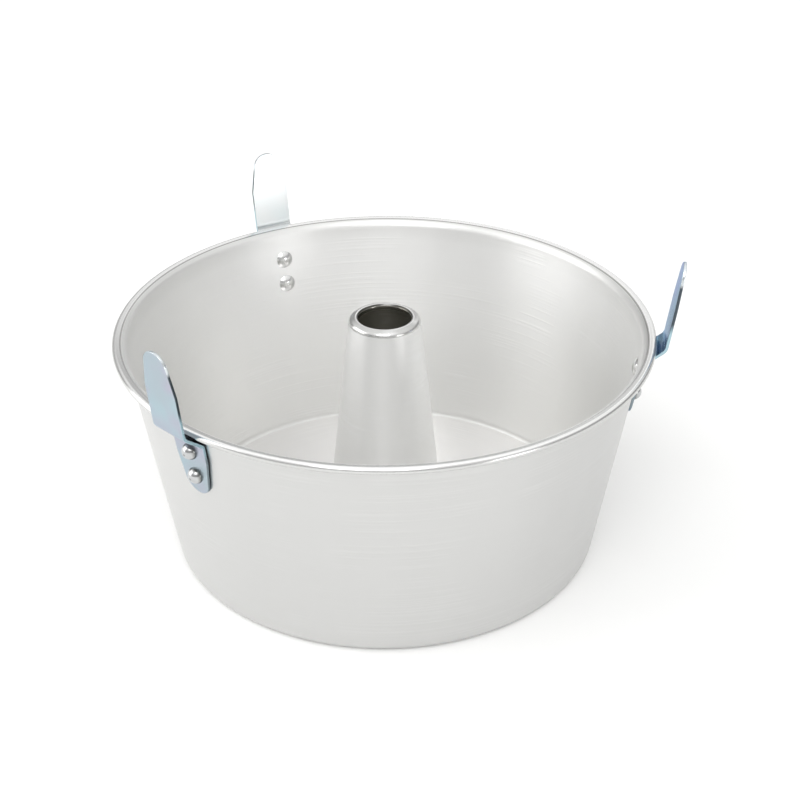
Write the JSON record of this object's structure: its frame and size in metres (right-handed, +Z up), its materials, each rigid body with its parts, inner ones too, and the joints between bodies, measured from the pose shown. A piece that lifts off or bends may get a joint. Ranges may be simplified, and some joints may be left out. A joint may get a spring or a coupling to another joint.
{
  "type": "angel food cake pan",
  "caption": "Round tapered tube pan for angel food cake with rolled rim, lift-out bottom with hollow centre tube, and riveted bent cooling legs standing above the rim.",
  "frame": {"origin": "centre of the base, on the table", "axes": "+Z up along the tube, +X to the right and -Y towards the viewer of the picture"},
  "size_m": [0.2631, 0.254, 0.1516],
  "materials": {
    "spun_aluminium": "satin spun",
    "zinc_plated_sheet": "bright clear zinc plate",
    "rivet_aluminium": "bright pressed"
  },
  "bodies": {
    "pan": {"pan_body": "spun_aluminium", "front_left_leg": "zinc_plated_sheet", "back_left_leg": "zinc_plated_sheet", "right_leg": "zinc_plated_sheet", "front_left_upper_rivet": "rivet_aluminium", "front_left_lower_rivet": "rivet_aluminium", "back_left_upper_rivet": "rivet_aluminium", "back_left_lower_rivet": "rivet_aluminium", "right_upper_rivet": "rivet_aluminium", "right_lower_rivet": "rivet_aluminium"},
    "insert": {"bottom_disc": "spun_aluminium", "centre_tube": "spun_aluminium"}
  },
  "joints": [
    {"name": "insert_lift", "type": "slide", "parent": "pan", "child": "insert", "axis": [0, 0, 1], "range_m": [0, 0.16]}
  ]
}
